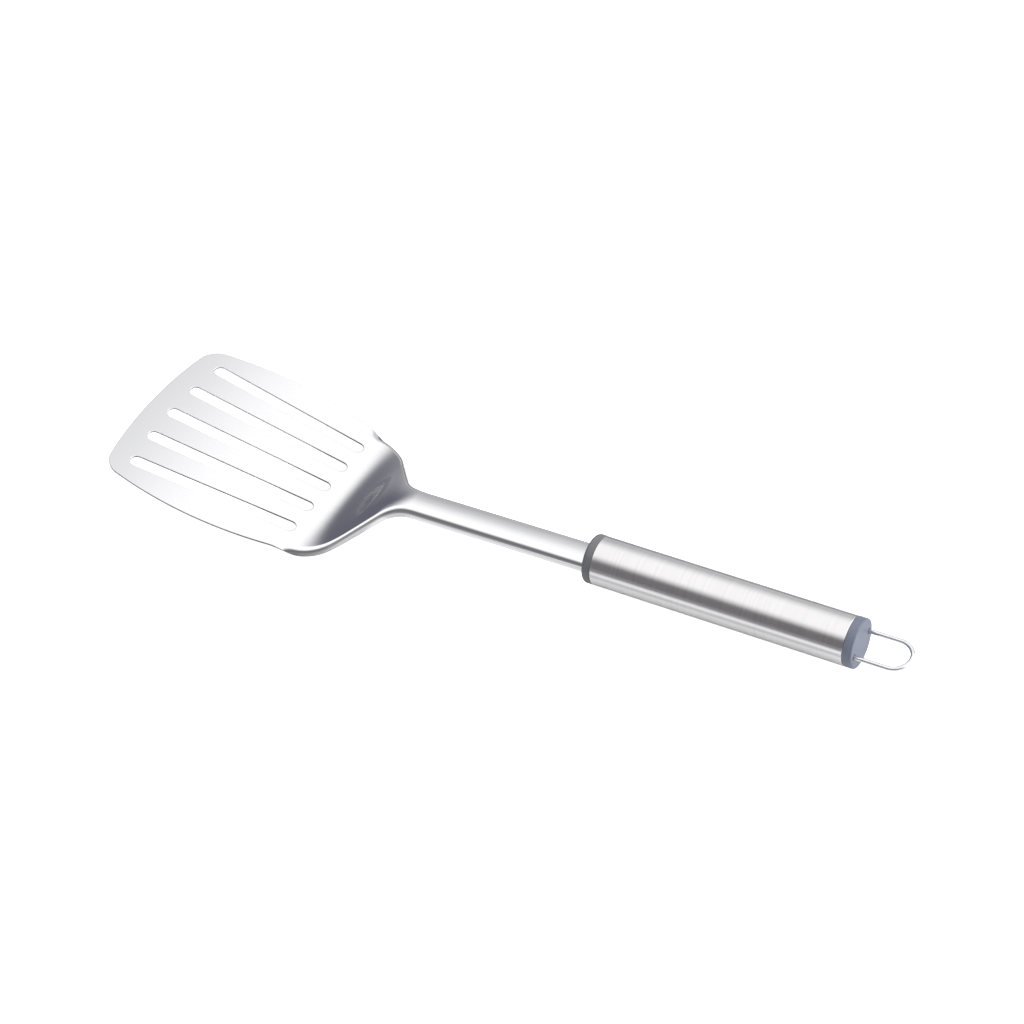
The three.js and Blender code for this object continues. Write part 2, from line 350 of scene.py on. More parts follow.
def start_material(name: str) -> tuple[Material, NodeSheet, Socket]:
    """Start a material that follows its object's own coordinates.

    Args:
        name: the material's name.

    Returns:
        The material, its empty node sheet and the coordinates.
    """
    material = bpy.data.materials.new(name)
    material.use_nodes = True
    sheet = NodeSheet(material.node_tree)
    return material, sheet, sheet.add("ShaderNodeTexCoord").outputs["Object"]


@dataclass(frozen=True)
class PaintedFrontShade:
    """The greyer working end, painted shade for a darker reflection: its start and full place along X, tint
    and roughness.
    """

    start: float
    full: float
    tint: Colour
    rough: float


@dataclass(frozen=True)
class SteelFinish:
    """Bright stainless steel: its tint, how rough its lines, haze and any painted front shade make it, and
    its grain.
    """

    name: str
    grain: Grain
    deep: Colour
    bright: Colour
    smooth: float
    rough: float
    haze_scale: float
    haze_rough: float
    relief: float
    relief_depth: float
    painted_front_shade: PaintedFrontShade | None = None

    def make(self, effects: Effects) -> Material:
        """Build the material.

        Args:
            effects: the shared effects.

        Returns:
            The material.
        """
        material, sheet, where = start_material(self.name)
        lines = effects.lines.place(sheet, where, {"Stretch": self.grain.value}).outputs["Lines"]
        haze = effects.haze.place(sheet, where, {"Scale": self.haze_scale}).outputs["Haze"]
        bump = sheet.add("ShaderNodeBump", {"Strength": self.relief, "Distance": self.relief_depth})
        sheet.link(lines, bump.inputs["Height"])
        ground = sheet.span(lines, 0.0, 1.0, self.smooth, self.rough)
        dulled = sheet.maths("MULTIPLY_ADD", haze, self.haze_rough, ground)
        tone = sheet.blend(lines, self.deep, self.bright)
        # Painted shade: the working end is tinted darker as a stand-in for a darker reflection, and made a
        # little rougher.
        if self.painted_front_shade is not None:
            along = sheet.parts(where)["X"]
            front_shade_share = sheet.span(along, self.painted_front_shade.start, self.painted_front_shade.full, 0.0, 1.0, smooth=True)
            tone = sheet.blend(front_shade_share, tone, self.painted_front_shade.tint)
            dulled = sheet.maths("MULTIPLY_ADD", front_shade_share, self.painted_front_shade.rough, dulled)
        steel = sheet.add("ShaderNodeBsdfPrincipled", {"Metallic": 1.0})
        sheet.link(tone, steel.inputs["Base Color"])
        sheet.link(dulled, steel.inputs["Roughness"])
        sheet.link(bump.outputs["Normal"], steel.inputs["Normal"])
        sheet.show(steel.outputs["BSDF"])
        return material


@dataclass(frozen=True)
class PlasticFinish:
    """Satin moulded plastic: its two tones, its grain and how rough it is."""

    name: str
    deep: Colour
    pale: Colour
    smooth: float = 0.38
    rough: float = 0.5
    grain_scale: float = 4200.0
    haze_scale: float = 160.0
    relief: float = 0.15
    relief_depth: float = 0.00003

    def make(self, effects: Effects) -> Material:
        """Build the material.

        Args:
            effects: the shared effects.

        Returns:
            The material.
        """
        material, sheet, where = start_material(self.name)
        grain = effects.grain.place(sheet, where, {"Scale": self.grain_scale}).outputs
        haze = effects.haze.place(sheet, where, {"Scale": self.haze_scale}).outputs["Haze"]
        bump = sheet.add("ShaderNodeBump", {"Strength": self.relief, "Distance": self.relief_depth})
        sheet.link(grain["Height"], bump.inputs["Height"])
        mottled = sheet.maths("MULTIPLY", sheet.maths("ADD", grain["Tone"], haze), 0.5)
        plastic = sheet.add("ShaderNodeBsdfPrincipled", {"Metallic": 0.0, "IOR": 1.5})
        sheet.link(sheet.blend(mottled, self.deep, self.pale), plastic.inputs["Base Color"])
        sheet.link(sheet.span(haze, 0.0, 1.0, self.smooth, self.rough), plastic.inputs["Roughness"])
        sheet.link(bump.outputs["Normal"], plastic.inputs["Normal"])
        sheet.show(plastic.outputs["BSDF"])
        return material


# Meshes


def rounded(bm: Mesh, point: Point, offset: float, steps: int) -> None:
    """Round one corner of a drawn outline."""
    bmesh.ops.bevel(bm, geom=[point], offset=offset, offset_type="OFFSET", segments=steps, profile=0.5,
                    affect="VERTICES", clamp_overlap=True, material=-1)


def turned(corners: tuple[Corner, ...], steps: int, closed: bool) -> Mesh:
    """Spin a profile about the handle's axis.

    Args:
        corners: the profile's corners in order.
        steps: how many steps the full turn has.
        closed: join the last corner to the first, for a hollow piece.

    Returns:
        The turned mesh, with its normals outwards.
    """
    bm = bmesh.new()
    points = [bm.verts.new((corner.x, 0.0, corner.radius)) for corner in corners]
    for start, end in zip(points, points[1:] + points[:1] if closed else points[1:]):
        bm.edges.new((start, end))
    for corner, point in zip(corners, points):
        if corner.rounding > 0.0:
            rounded(bm, point, corner.rounding, ROUNDING_STEPS)
    bmesh.ops.spin(bm, geom=bm.verts[:] + bm.edges[:], cent=ORIGIN, axis=HANDLE_AXIS,
                   dvec=ORIGIN, angle=math.tau, steps=steps, use_merge=True)
    bmesh.ops.remove_doubles(bm, verts=bm.verts[:], dist=MERGE_DISTANCE)
    bmesh.ops.recalc_face_normals(bm, faces=bm.faces[:])
    return bm


def to_object(bm: Mesh, name: str) -> bpy.types.Object:
    """Turn a mesh into an object of the scene and free the mesh.

    Args:
        bm: the mesh.
        name: the object's name.

    Returns:
        The object.
    """
    mesh = bpy.data.meshes.new(name)
    bm.to_mesh(mesh)
    bm.free()
    made = bpy.data.objects.new(name, mesh)
    bpy.context.scene.collection.objects.link(made)
    return made


def carved(body: Mesh, cutters: list[Mesh]) -> Mesh:
    """Cut closed shapes out of a closed body.

    Args:
        body: the mesh that is cut; it is freed.
        cutters: the shapes that are cut out; they are freed.

    Returns:
        The mesh that is left.
    """
    target = to_object(body, "carving_body")
    tools = [to_object(cutter, "carving_tool") for cutter in cutters]
    for tool in tools:
        cut = target.modifiers.new("cut", "BOOLEAN")
        cut.operation = "DIFFERENCE"
        cut.solver = "EXACT"
        cut.object = tool
    view = bpy.context.evaluated_depsgraph_get()
    result = bpy.data.meshes.new_from_object(target.evaluated_get(view))
    left = bmesh.new()
    left.from_mesh(result)
    for used in (target, *tools):
        bpy.data.objects.remove(used)
    bpy.data.meshes.remove(result)
    return left


def rolled(bm: Mesh, angle: float) -> Mesh:
    """Turn a mesh about the handle's axis and return it."""
    bmesh.ops.rotate(bm, cent=ORIGIN, matrix=Matrix.Rotation(angle, 3, "X"), verts=bm.verts[:])
    return bm


@dataclass
class TurnerPiece:
    """What all the pieces share: the lie of the turner and the way a mesh joins the part."""

    part: ClassVar[Part]
    slot: ClassVar[Slot]
    lie: Lie

    def make_mesh(self) -> Mesh:
        """Return the piece's closed mesh, in the handle's frame."""
        raise NotImplementedError

    def build(self, *finishes: Material) -> bpy.types.Object:
        """Lay the mesh down in the part's frame, dress it and put it in its CAD node's place.

        Args:
            finishes: its finishes, in the order of the mesh's material numbers.

        Returns:
            The finished object.
        """
        bm = self.make_mesh()
        bmesh.ops.transform(bm, matrix=self.lie.matrix(), verts=bm.verts[:])
        for face in bm.faces:
            face.smooth = True
        for edge in bm.edges:
            edge.smooth = edge.calc_face_angle(0.0) < SHADING_ANGLE
        made = to_object(bm, f"{self.part.value}_dressed")
        for finish in finishes:
            made.data.materials.append(finish)
        shading = made.modifiers.new("even_shading", "WEIGHTED_NORMAL")
        shading.keep_sharp = True
        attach(made, "root")
        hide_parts(self.part.value)
        log.info("%s: %d faces", made.name, len(made.data.polygons))
        return made


@dataclass
class PressedBlade(TurnerPiece):
    """Blade, neck, shank and tang, pressed from one steel sheet.

    Distances along the sheet are given from the tube's front end, towards the blade.
    """

    part: ClassVar[Part] = Part.BLADE
    slot: ClassVar[Slot] = Slot.BLADE
    sheet: float = 0.001
    blade_rise: float = math.radians(11.4)
    neck_rise: float = math.radians(27.9)
    heel: float = 0.119
    heel_bend: float = 0.018
    neck_end: float = 0.0947
    neck_bend: float = 0.0125
    shank_level: float = 0.0011
    shank_rise: float = math.radians(0.86)
    shank_width: float = 0.0144
    shank_crown: float = math.radians(13.0)
    crown_start: float = 0.126
    crown_end: float = 0.098
    ring_front: float = 0.004
    tang_reach: float = 0.032
    fold_angle: float = math.radians(86.0)
    fold_radius: float = 0.0028
    flange_on_shank: float = 0.002
    flange_on_blade: float = 0.00095
    fold_start: float = 0.138
    fold_end: float = 0.124
    tip: float = 0.2232
    width: float = 0.09297
    widest: float = 0.179
    barrel: float = 0.178
    front: float = 0.2
    corner: float = 0.0065
    shoulder_start: float = 0.129
    shoulder_end: float = 0.1135
    neck_taper: float = 1.23
    throat: float = 0.095
    throat_on_neck: float = 0.0045
    throat_on_shank: float = 0.009
    slot_count: int = 5
    slot_width: float = 0.0056
    slot_border: float = 0.0008
    slot_rear: float = 0.1327
    slot_margin: float = 0.0093
    slot_pitch_rear: float = 0.0138
    slot_pitch_front: float = 0.0166
    edge_round: float = 0.00022
    edge_steps: int = 3
    edge_angle: float = math.radians(50.0)
    flat_from: float = 0.1316
    flat_columns: int = 14
    fold_columns: int = 12
    row_stops: tuple[float, ...] = (0.119, 0.1085, 0.1015, 0.082)
    row_counts: tuple[int, ...] = (36, 22, 8, 26, 20, 6)
    side_steps: int = 64
    front_steps: int = 34
    corner_steps: int = 14
    corner_reach: float = 1.1
    slot_steps: int = 44

    @property
    def stations(self) -> list[float]:
        """List the rows from the flat blade to the tang's end.

        Returns:
            Their places along the sheet.
        """
        stops = [-self.flat_from, *(-stop for stop in self.row_stops), -self.ring_front, self.tang_reach]
        places = stops[:1]
        for start, end, rows in zip(stops, stops[1:], self.row_counts):
            places += [start + (end - start) * (row + 1) / rows for row in range(rows)]
        return places

    @property
    def edge_column(self) -> int:
        """Return the number of the sheet's outermost column, counted from its middle."""
        return self.flat_columns + self.fold_columns + 1

    @property
    def barrel_centre(self) -> Vector:
        """Return the centre of the bulging side's arc."""
        return Vector((-self.widest, self.width / 2 - self.barrel, 0.0))

    @property
    def front_centre(self) -> Vector:
        """Return the centre of the front edge's arc."""
        return Vector((self.front - self.tip, 0.0, 0.0))

    @staticmethod
    def bent_ramp(distance: float, bend: float) -> float:
        """Follow a slope of one up to a crease and the level after it, with a bend between.

        Args:
            distance: the distance past the crease.
            bend: the length of the bend.

        Returns:
            The height, zero after the crease.
        """
        if distance <= -bend / 2:
            return distance
        if distance >= bend / 2:
            return 0.0
        return -((distance - bend / 2) ** 2) / (2 * bend)

    @staticmethod
    def bow(x: float, start: tuple[float, float], pull: tuple[float, float],
            end: tuple[float, float]) -> float:
        """Follow a parabola between two straight edges.

        Args:
            x: the place along the sheet.
            start: where the bow leaves the first edge.
            pull: where the two edges would cross.
            end: where it meets the second edge.

        Returns:
            The half width at x.
        """
        bend = start[0] - 2 * pull[0] + end[0]
        slope = 2 * (pull[0] - start[0])
        rest = start[0] - x
        if abs(bend) < NEARLY_ZERO:
            share = -rest / slope
        else:
            share = (-slope + math.sqrt(max(slope * slope - 4 * bend * rest, 0.0))) / (2 * bend)
        left = 1.0 - share
        return left * left * start[1] + 2 * left * share * pull[1] + share * share * end[1]

    @staticmethod
    def sweep(start: float, end: float, share: float) -> tuple[float, float]:
        """Run along a strip whose slope changes evenly.

        Args:
            start: the slope's angle where the strip starts.
            end: its angle at the whole strip's end.
            share: how much of the strip is run along.

        Returns:
            The way across and the way down, for a strip of length one.
        """
        turn = end - start
        if abs(turn) < NEARLY_ZERO:
            return share * math.cos(start), share * math.sin(start)
        here = start + turn * share
        return (math.sin(here) - math.sin(start)) / turn, (math.cos(start) - math.cos(here)) / turn

    def sheet_level(self, x: float) -> float:
        """Return the height of the sheet's shoulders over the handle's axis."""
        climb = math.tan(self.neck_rise)
        slope = math.tan(self.shank_rise)
        turn = climb + math.tan(self.blade_rise)
        shank = self.shank_level + slope * (x + self.neck_end)
        neck = (climb - slope) * self.bent_ramp(x + self.neck_end, self.neck_bend)
        return shank + neck - turn * self.bent_ramp(x + self.heel, self.heel_bend)

    @staticmethod
    def eased(x: float, start: float, end: float) -> float:
        """Return a soft rise from 0 where x is -start to 1 where x is -end."""
        share = min(max((x + start) / (start - end), 0.0), 1.0)
        return share * share * (3.0 - 2.0 * share)

    def blade_half(self, x: float) -> float:
        """Return the half width of the bulging blade."""
        return self.width / 2 - self.barrel + math.sqrt(self.barrel ** 2 - (x + self.widest) ** 2)

    def neck_half(self, x: float) -> float:
        """Return the half width of the tapering neck."""
        return self.shank_width / 2 - self.neck_taper * (x + self.throat)

    def half_width(self, x: float) -> float:
        """Return the half width of the sheet from the blade's rear to the tang."""
        shank_half = self.shank_width / 2
        shoulder, straight = -self.shoulder_start, -self.shoulder_end
        into_throat, out_of_throat = -self.throat - self.throat_on_neck, -self.throat + self.throat_on_shank
        if x <= shoulder:
            return self.blade_half(x)
        if x <= straight:
            fall = -(shoulder + self.widest) / math.sqrt(self.barrel ** 2 - (shoulder + self.widest) ** 2)
            gap = self.blade_half(shoulder) + fall * (straight - shoulder) - self.neck_half(straight)
            cross = straight + gap / (-self.neck_taper - fall)
            return self.bow(x, (shoulder, self.blade_half(shoulder)), (cross, self.neck_half(cross)),
                            (straight, self.neck_half(straight)))
        if x <= into_throat:
            return self.neck_half(x)
        if x <= out_of_throat:
            return self.bow(x, (into_throat, self.neck_half(into_throat)), (-self.throat, shank_half),
                            (out_of_throat, shank_half))
        return shank_half

    def section_point(self, x: float, half: float, column: int) -> tuple[float, float]:
        """Find a point of the section across the sheet, on its upper face.

        Args:
            x: the place along the sheet.
            half: the half width there.
            column: the column counted from the middle.

        Returns:
            The place across and the height.
        """
        share = self.eased(x, self.fold_start, self.fold_end)
        growth = self.eased(x, self.crown_start, self.crown_end)
        crown = self.shank_crown * growth
        fold = max(self.fold_angle * share, crown)
        bend = self.fold_radius * self.fold_angle
        flange = self.flange_on_blade + (self.flange_on_shank - self.flange_on_blade) * growth
        bend_run, bend_fall = self.sweep(crown, fold, 1.0)
        flat_run, flat_fall = self.sweep(0.0, crown, 1.0)
        flat = (half - bend * bend_run - flange * math.cos(fold)) / flat_run
        level = self.sheet_level(x) + flat * flat_fall
        if column <= self.flat_columns:
            run, fall = self.sweep(0.0, crown, column / self.flat_columns)
            return flat * run, level - flat * fall
        level -= flat * flat_fall
        if column <= self.flat_columns + self.fold_columns:
            run, fall = self.sweep(crown, fold, (column - self.flat_columns) / self.fold_columns)
            return flat * flat_run + bend * run, level - bend * fall
        return half, level - bend * bend_fall - flange * math.sin(fold)

    def make_mesh(self) -> Mesh:
        """Press the sheet, thicken it and take its edges' sharpness off.

        Returns:
            The closed mesh, in the handle's frame.
        """
        bm = bmesh.new()
        self.add_flat_blade(bm, self.pressed_grid(bm, self.stations)[0])
        bmesh.ops.recalc_face_normals(bm, faces=bm.faces[:])
        if sum(face.normal.z * face.calc_area() for face in bm.faces) < 0.0:
            bmesh.ops.reverse_faces(bm, faces=bm.faces[:])
        bm.normal_update()
        skin = set(bm.faces)
        rim = [edge for edge in bm.edges if edge.is_boundary]
        bmesh.ops.solidify(bm, geom=bm.faces[:], thickness=self.sheet)
        for face in {face for edge in rim for face in edge.link_faces} - skin:
            face.material_index = 1
        bm.normal_update()
        sharp = [edge for edge in bm.edges if edge.calc_face_angle(0.0) > self.edge_angle]
        bmesh.ops.bevel(bm, geom=sharp, offset=self.edge_round, offset_type="OFFSET",
                        segments=self.edge_steps, profile=0.5, affect="EDGES", clamp_overlap=True,
                        material=-1)
        bm.normal_update()
        return bm

    def pressed_grid(self, bm: Mesh, stations: list[float]) -> list[list[Point]]:
        """Press a grid to the form of the sheet behind the flat blade.

        Args:
            bm: the mesh that takes the grid.
            stations: the places of its rows along the sheet.

        Returns:
            The points of each row, across the sheet.
        """
        rows, columns = len(stations) - 1, 2 * self.edge_column
        lines = [[] for _ in stations]
        for point in bmesh.ops.create_grid(bm, x_segments=rows, y_segments=columns, size=0.5)["verts"]:
            row = round((point.co.x + 0.5) * rows)
            column = round((point.co.y + 0.5) * columns) - self.edge_column
            x = stations[row]
            across, height = self.section_point(x, self.half_width(x), abs(column))
            point.co = Vector((x, math.copysign(across, column), height))
            lines[row].append(point)
        return [sorted(line, key=lambda point: point.co.y) for line in lines]

    def front_corner(self, inset: float) -> Vector:
        """Return where the side's arc and the front's arc cross, both moved in by inset."""
        y = self.width / 2
        for _ in range(CROSSING_ROUNDS):
            x = self.front - self.tip - math.sqrt((self.front - inset) ** 2 - y * y)
            y = self.width / 2 - self.barrel + math.sqrt((self.barrel - inset) ** 2 - (x + self.widest) ** 2)
        return Vector((x, y, 0.0))

    def rim_chain(self, bm: Mesh, start: Point, end: Point,
                  inset: float) -> list[Edge]:
        """Draw the blade's outline from one side of the join round the front to the other side.

        Args:
            bm: the mesh.
            start: the point of the join on the +Y side.
            end: the point of the join on the -Y side.
            inset: how far the outline lies inside the real one.

        Returns:
            The edges of the outline.
        """
        before = set(bm.edges)
        corner = self.front_corner(inset)
        reach = self.corner * self.corner_reach
        mirror = Matrix.Scale(-1.0, 3, ACROSS)
        level = Vector((0.0, 0.0, start.co.z))
        centre, middle = self.barrel_centre, self.front_centre
        radius = (start.co.xy - centre.xy).length
        from_angle = math.atan2(start.co.y - centre.y, start.co.x - centre.x)
        side_turn = math.atan2(corner.y - centre.y, corner.x - centre.x) - from_angle - reach / radius
        front_radius = (corner - middle).length
        half_front = math.asin(corner.y / front_radius) - reach / front_radius

        def arc(point: Point, about: Vector, angle: float, steps: int) -> Point:
            """Spin a point about an upright axis and return the arc's last point."""
            spun = bmesh.ops.spin(bm, geom=[point], cent=about, axis=UP, dvec=ORIGIN,
                                  angle=angle, steps=steps, use_merge=False)
            return next(item for item in spun["geom_last"] if isinstance(item, Point))

        def line(point: Point, to: Vector) -> Point:
            """Pull an edge out of a point and return its far end."""
            pulled = bmesh.ops.extrude_vert_indiv(bm, verts=[point])["verts"][0]
            pulled.co = to
            return pulled

        side_end = arc(start, centre, side_turn, self.side_steps)
        first = line(side_end, corner + level)
        front_start = middle + Vector((-math.cos(half_front), math.sin(half_front), 0.0)) * front_radius
        front_end = arc(line(first, front_start + level), middle, 2 * half_front,
                        self.front_steps)
        second = line(front_end, mirror @ corner + level)
        last = arc(line(second, mirror @ side_end.co), mirror @ centre, side_turn, self.side_steps)
        bmesh.ops.pointmerge(bm, verts=[end, last], merge_co=end.co)
        for point in (first, second):
            rounded(bm, point, self.corner - inset, self.corner_steps)
        return [edge for edge in bm.edges if edge not in before]

    def slot_ring(self, bm: Mesh, number: int, border: float) -> list[Edge]:
        """Draw one slot's outline, with round ends.

        Args:
            bm: the mesh.
            number: the slot's number, counted from the middle one.
            border: how far the outline lies outside the real slot.

        Returns:
            The edges of the closed outline.
        """
        before = set(bm.edges)
        y = number * self.slot_pitch_front
        front_x = self.front - self.tip - math.sqrt(self.front ** 2 - y * y) + self.slot_margin
        front = Vector((front_x, y, 0.0))
        rear = Vector((-self.slot_rear, number * self.slot_pitch_rear, 0.0))
        along = (front - rear).normalized()
        radius = self.slot_width / 2
        rear += along * radius
        run = (front - along * radius) - rear
        turn = Matrix.Rotation(math.atan2(along.y, along.x) + math.pi / self.slot_steps, 4, "Z")
        circle = bmesh.ops.create_circle(bm, cap_ends=False, segments=self.slot_steps, radius=radius + border,
                                         matrix=Matrix.Translation(rear) @ turn)["verts"]
        for point in circle:
            if (point.co - rear).dot(along) > 0.0:
                point.co += run
        return [edge for edge in bm.edges if edge not in before]

    def press_rim(self, point: Point, column: int) -> None:
        """Press a point of the blade's rim to the section that it belongs to.

        Args:
            point: the point, where it lies before the edge is turned down.
            column: its column counted from the middle.
        """
        x = point.co.x
        point.co.z = self.sheet_level(x)
        if x > -self.fold_start:
            across, point.co.z = self.section_point(x, self.blade_half(x), column)
            point.co.y = math.copysign(across, point.co.y)

    def add_rim(self, bm: Mesh, join: list[Point]) -> list[Edge]:
        """Lay the blade's rim as wide as the edge that is turned down behind it.

        Args:
            bm: the mesh that holds the neck and shank.
            join: the points of the join, across the sheet.

        Returns:
            The edges of the rim's inner outline.
        """
        half = self.blade_half(-self.fold_start)
        chains = []
        for step in range(self.fold_columns + 2):
            column = self.edge_column - step
            inset = half - self.section_point(-self.fold_start, half, column)[0]
            ends = join[-1 - step], join[step]
            for point in ends:
                point.co.y = math.copysign(self.blade_half(point.co.x) - inset, point.co.y)
            chains.append(self.rim_chain(bm, *ends, inset))
            for point in {point for edge in chains[-1] for point in edge.verts}:
                self.press_rim(point, column)
        for outer, inner in zip(chains, chains[1:]):
            bmesh.ops.bridge_loops(bm, edges=outer + inner)
        return chains[-1]

    def add_flat_blade(self, bm: Mesh, join: list[Point]) -> None:
        """Fill the flat blade in front of the join, with its slots.

        Args:
            bm: the mesh that holds the neck and shank.
            join: the points of the join, across the sheet.
        """
        inner = self.add_rim(bm, join)
        flat_join = join[self.fold_columns + 1:-self.fold_columns - 1]
        join_edges = [bm.edges.get(pair) for pair in zip(flat_join, flat_join[1:])]
        rings = []
        middle = (self.slot_count - 1) // 2
        for number in range(-middle, middle + 1):
            hole = self.slot_ring(bm, number, 0.0)
            ring = self.slot_ring(bm, number, self.slot_border)
            bmesh.ops.bridge_loops(bm, edges=hole + ring)
            rings += ring
            for point in {point for edge in hole + ring for point in edge.verts}:
                point.co.z = self.sheet_level(point.co.x)
        bmesh.ops.triangle_fill(bm, edges=join_edges + inner + rings, use_beauty=True, use_dissolve=False,
                                normal=UP)

    def channel(self, clearance: float, start: float, end: float) -> Mesh:
        """Make the room that the shank's section takes, for the ring it passes through.

        Args:
            clearance: the gap left round the sheet.
            start: where the room starts along the handle.
            end: where it ends.

        Returns:
            A closed mesh.
        """
        bm = bmesh.new()
        for row in self.pressed_grid(bm, [start, end]):
            for point in (row[0], row[-1]):
                point.co.z -= clearance
        bm.normal_update()
        for point in bm.verts:
            point.co += point.normal * clearance
        bm.normal_update()
        bmesh.ops.solidify(bm, geom=bm.faces[:], thickness=self.sheet + 2 * clearance)
        bmesh.ops.recalc_face_normals(bm, faces=bm.faces[:])
        return bm


@dataclass
class HandleTube(TurnerPiece):
    """The round tube of the handle, with rolled lips at its two ends."""

    part: ClassVar[Part] = Part.TUBE
    slot: ClassVar[Slot] = Slot.TUBE
    wall: float = 0.0008
    length: float = 0.1116
    lip: float = 0.00032

    def make_mesh(self) -> Mesh:
        """Turn the tube.

        Returns:
            Its closed mesh, in the handle's frame.
        """
        inner = HANDLE_RADIUS - self.wall
        profile = (
            Corner(0.0, inner, self.lip),
            Corner(0.0, HANDLE_RADIUS, self.lip),
            Corner(self.length, HANDLE_RADIUS, self.lip),
            Corner(self.length, inner, self.lip),
        )
        return turned(profile, TURNING_STEPS, closed=True)


@dataclass
class FrontRing(TurnerPiece):
    """The plastic ring between shank and tube, with a spigot in the tube and a channel for the tang."""

    part: ClassVar[Part] = Part.RING
    slot: ClassVar[Slot] = Slot.RING
    blade: PressedBlade
    front: float = -0.004
    rear: float = -0.00006
    rounding: float = 0.0013
    spigot_end: float = 0.009
    clearance: float = 0.00012

    def make_mesh(self) -> Mesh:
        """Turn the ring and cut the channel that the blade's tang passes through.

        Returns:
            Its closed mesh, in the handle's frame.
        """
        profile = (
            Corner(self.front, 0.0),
            Corner(self.front, HANDLE_RADIUS, self.rounding),
            Corner(self.rear, HANDLE_RADIUS, SEAM_ROUNDING),
            Corner(self.rear, SPIGOT_RADIUS),
            Corner(self.spigot_end, SPIGOT_RADIUS, SPIGOT_ROUNDING),
            Corner(self.spigot_end, 0.0),
        )
        room = self.blade.channel(self.clearance, 2 * self.front, self.spigot_end - 2 * self.front)
        return carved(turned(profile, TURNING_STEPS, closed=False), [room])


@dataclass
class EndCap(TurnerPiece):
    """The plastic plug in the tube's rear end, with two bores for the loop's legs."""

    part: ClassVar[Part] = Part.CAP
    slot: ClassVar[Slot] = Slot.CAP
    shoulder: float = 0.11166
    face: float = 0.1157
    rounding: float = 0.0006
    spigot_length: float = 0.014
    bore_radius: float = 0.00112
    bore_depth: float = 0.0123
    bore_mouth: float = 0.0003
    bore_spread: float = 0.0146
    bore_steps: int = 40
    turn: float = math.radians(6.0)

    def bore(self, side: float) -> Mesh:
        """Make the shape that one bore takes out, with its countersunk mouth.

        Args:
            side: -1 or 1, the side of the axis.

        Returns:
            A closed mesh.
        """
        profile = (
            Corner(self.face - self.bore_depth, 0.0),
            Corner(self.face - self.bore_depth, self.bore_radius),
            Corner(self.face - self.bore_mouth, self.bore_radius),
            Corner(self.face + self.bore_mouth, self.bore_radius + 2 * self.bore_mouth),
            Corner(self.face + self.bore_mouth, 0.0),
        )
        drill = rolled(turned(profile, self.bore_steps, closed=False), math.pi / self.bore_steps)
        bmesh.ops.translate(drill, vec=(0.0, side * self.bore_spread / 2, 0.0), verts=drill.verts[:])
        return drill

    def make_mesh(self) -> Mesh:
        """Turn the cap and bore it for the loop's legs.

        Returns:
            Its closed mesh, in the handle's frame.
        """
        inner = self.shoulder - self.spigot_length
        profile = (
            Corner(inner, 0.0),
            Corner(inner, SPIGOT_RADIUS, SPIGOT_ROUNDING),
            Corner(self.shoulder, SPIGOT_RADIUS),
            Corner(self.shoulder, HANDLE_RADIUS, SEAM_ROUNDING),
            Corner(self.face, HANDLE_RADIUS, self.rounding),
            Corner(self.face, 0.0),
        )
        body = turned(profile, TURNING_STEPS, closed=False)
        return rolled(carved(body, [self.bore(-1.0), self.bore(1.0)]), self.turn)


@dataclass
class HangingLoop(TurnerPiece):
    """One bent wire whose two legs stand in the end cap."""

    part: ClassVar[Part] = Part.LOOP
    slot: ClassVar[Slot] = Slot.LOOP
    cap: EndCap
    wire: float = 0.002
    reach: float = 0.02195
    leg_inside: float = 0.012
    sides: int = 28
    steps: int = 64

    def make_mesh(self) -> Mesh:
        """Draw the wire up one leg, round the bend and down the other leg.

        Returns:
            Its closed mesh, in the handle's frame.
        """
        bend = self.cap.bore_spread / 2
        start = self.cap.face - self.leg_inside
        leg = self.leg_inside + self.reach - self.wire / 2 - bend
        bm = bmesh.new()
        place = Matrix.Translation((start, -bend, 0.0)) @ Matrix.Rotation(math.pi / 2, 4, "Y")
        bmesh.ops.create_circle(bm, cap_ends=False, segments=self.sides, radius=self.wire / 2, matrix=place)
        ring = self.pulled(bm, bm.edges[:], Vector((leg, 0.0, 0.0)))
        ends = {point for edge in ring for point in edge.verts}
        spun = bmesh.ops.spin(bm, geom=ring + list(ends), cent=(start + leg, 0.0, 0.0), axis=UP,
                              dvec=ORIGIN, angle=math.pi, steps=self.steps, use_merge=False)
        ring = [item for item in spun["geom_last"] if isinstance(item, Edge)]
        self.pulled(bm, ring, Vector((-leg, 0.0, 0.0)))
        bmesh.ops.holes_fill(bm, edges=[edge for edge in bm.edges if edge.is_boundary], sides=0)
        bmesh.ops.recalc_face_normals(bm, faces=bm.faces[:])
        return rolled(bm, self.cap.turn)

    @staticmethod
    def pulled(bm: Mesh, ring: list[Edge], way: Vector) -> list[Edge]:
        """Pull a ring of edges into a straight length of wire.

        Args:
            bm: the mesh.
            ring: the edges of the wire's open end.
            way: how far and which way it is pulled.

        Returns:
            The edges of the new end.
        """
        made = bmesh.ops.extrude_edge_only(bm, edges=ring)["geom"]
        points = [item for item in made if isinstance(item, Point)]
        bmesh.ops.translate(bm, vec=way, verts=points)
        far = set(points)
        return [item for item in made if isinstance(item, Edge) and set(item.verts) <= far]


@dataclass
class TangCore:
    """The moulded core inside the closed tube, which keeps its CAD solid and gets a finish."""

    def build(self, material: Material) -> bpy.types.Object:
        """Dress the CAD node.

        Args:
            material: its finish.

        Returns:
            The CAD node's object.
        """
        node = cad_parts[Part.CORE.value]
        node.data.materials.clear()
        node.data.materials.append(material)
        log.info("%s: CAD solid with the finish %s", node.name, material.name)
        return node


# Studio


